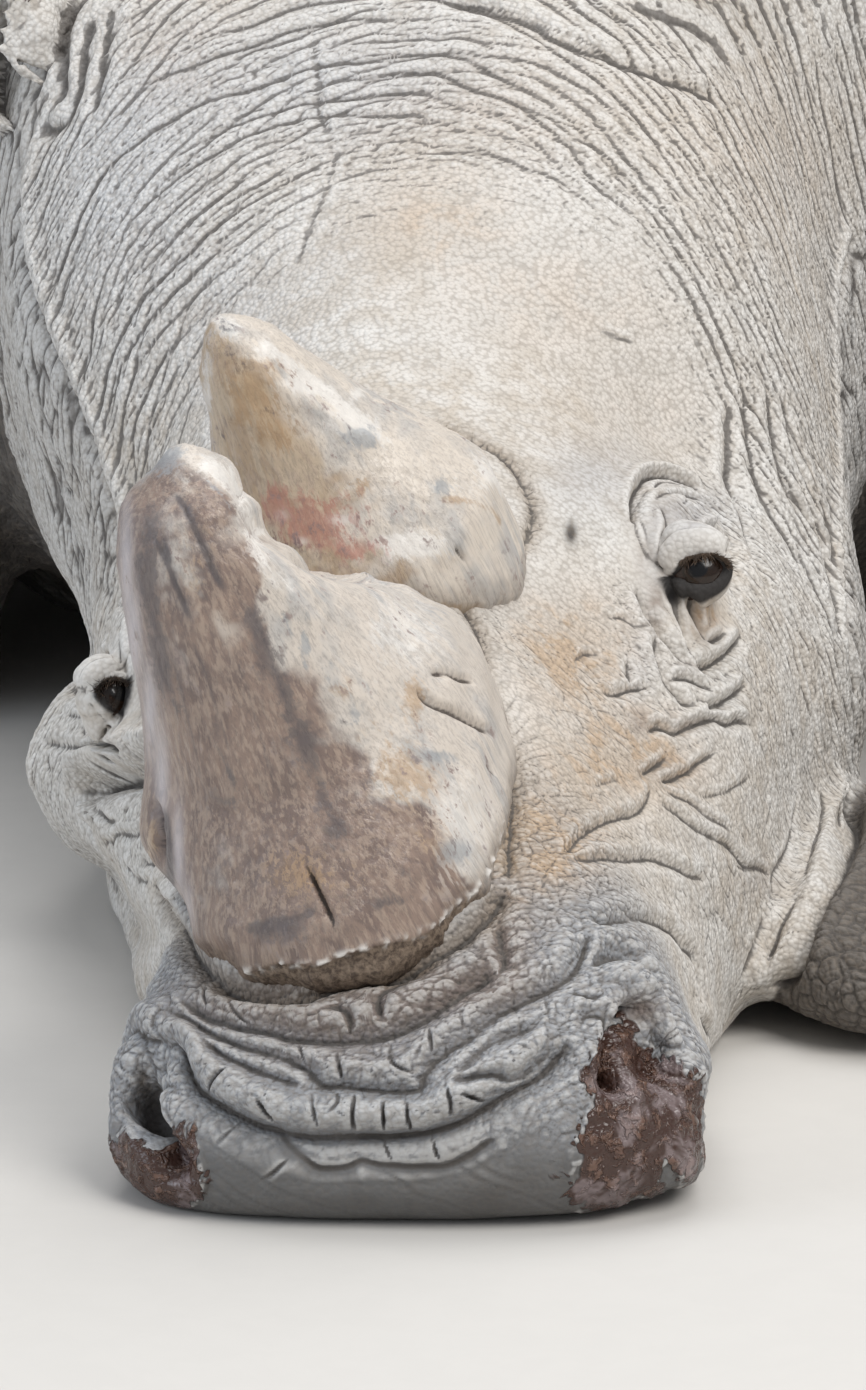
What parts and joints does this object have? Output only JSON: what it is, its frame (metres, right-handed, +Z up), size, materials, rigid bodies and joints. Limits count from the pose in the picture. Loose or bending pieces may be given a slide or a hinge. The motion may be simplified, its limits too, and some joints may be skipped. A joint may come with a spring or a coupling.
{
  "type": "white rhinoceros",
  "caption": "Life-size still model of a white rhinoceros resting on its belly with its chin on the ground, with worn horns and folded muzzle skin.",
  "frame": {"origin": "the middle of the belly's resting flat, on the floor", "axes": "+Z up; the head points to -Y; +X is the animal's left side"},
  "size_m": [1.7371, 3.6, 1.0501],
  "materials": {
    "hide": "dry, deeply wrinkled pale grey hide with cream and ochre staining",
    "horn": "worn fibrous keratin, satin, brown-tan with grey-blue streaks",
    "eye": "wet, dark brown",
    "nail": "dull keratin, scuffed"
  },
  "bodies": {
    "root": {"head": "hide", "neck": "hide", "trunk": "hide", "tail": "hide", "ear_left": "hide", "ear_right": "hide", "leg_fore_left": "hide", "leg_fore_right": "hide", "leg_hind_left": "hide", "leg_hind_right": "hide", "horn_front": "horn", "horn_rear": "horn", "eye_left": "eye", "eye_right": "eye", "nail_fore_left_1": "nail", "nail_fore_left_2": "nail", "nail_fore_left_3": "nail", "nail_fore_right_1": "nail", "nail_fore_right_2": "nail", "nail_fore_right_3": "nail", "nail_hind_left_1": "nail", "nail_hind_left_2": "nail", "nail_hind_left_3": "nail", "nail_hind_right_1": "nail", "nail_hind_right_2": "nail", "nail_hind_right_3": "nail"}
  },
  "joints": []
}
